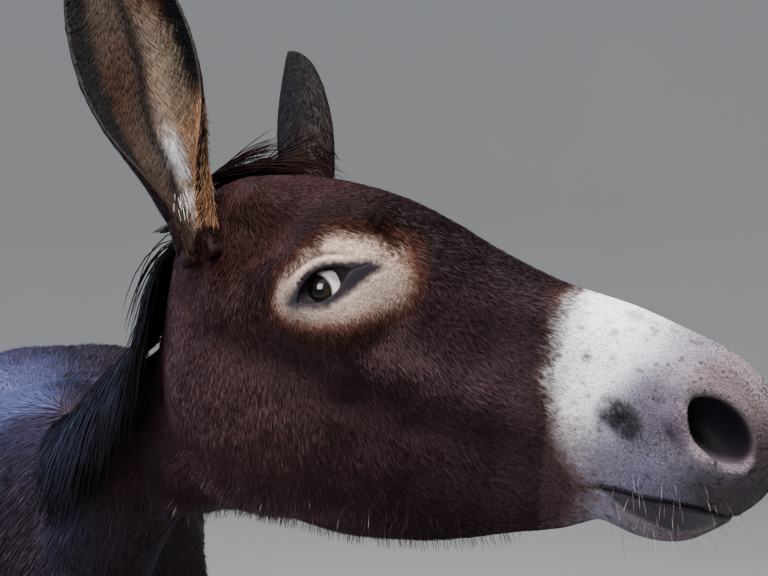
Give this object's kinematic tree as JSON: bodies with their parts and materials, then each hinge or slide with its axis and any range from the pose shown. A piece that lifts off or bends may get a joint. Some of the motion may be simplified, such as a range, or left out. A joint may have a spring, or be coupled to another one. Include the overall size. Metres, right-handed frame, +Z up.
{
  "type": "donkey",
  "caption": "Life-size still model of a dark brown donkey with a pale muzzle and eye rings, standing with its neck stretched forward.",
  "frame": {"origin": "on the floor, under the middle of the donkey's bounding box", "axes": "+X towards the head along the back, +Y the donkey's left, +Z up"},
  "size_m": [1.8938, 0.6968, 1.6259],
  "materials": {
    "dark_coat": "short dense hair with a soft sheen",
    "head_coat": "short hair, dark brown to a pale grey muzzle and eye ring",
    "ear_coat": "short hair with longer pale hair inside",
    "long_hair": "long coarse black hair",
    "hoof": "dull horn with growth rings",
    "eye": "wet polished brown eye"
  },
  "bodies": {
    "root": {"ear_left": "ear_coat", "ear_right": "ear_coat", "eye_left": "eye", "eye_right": "eye", "foreleg_left": "dark_coat", "foreleg_right": "dark_coat", "forelock": "long_hair", "head": "head_coat", "hindleg_left": "dark_coat", "hindleg_right": "dark_coat", "hoof_fore_left": "hoof", "hoof_fore_right": "hoof", "hoof_hind_left": "hoof", "hoof_hind_right": "hoof", "mane": "long_hair", "neck": "dark_coat", "tail": "dark_coat", "tail_tassel": "long_hair", "trunk": "dark_coat"}
  },
  "joints": []
}
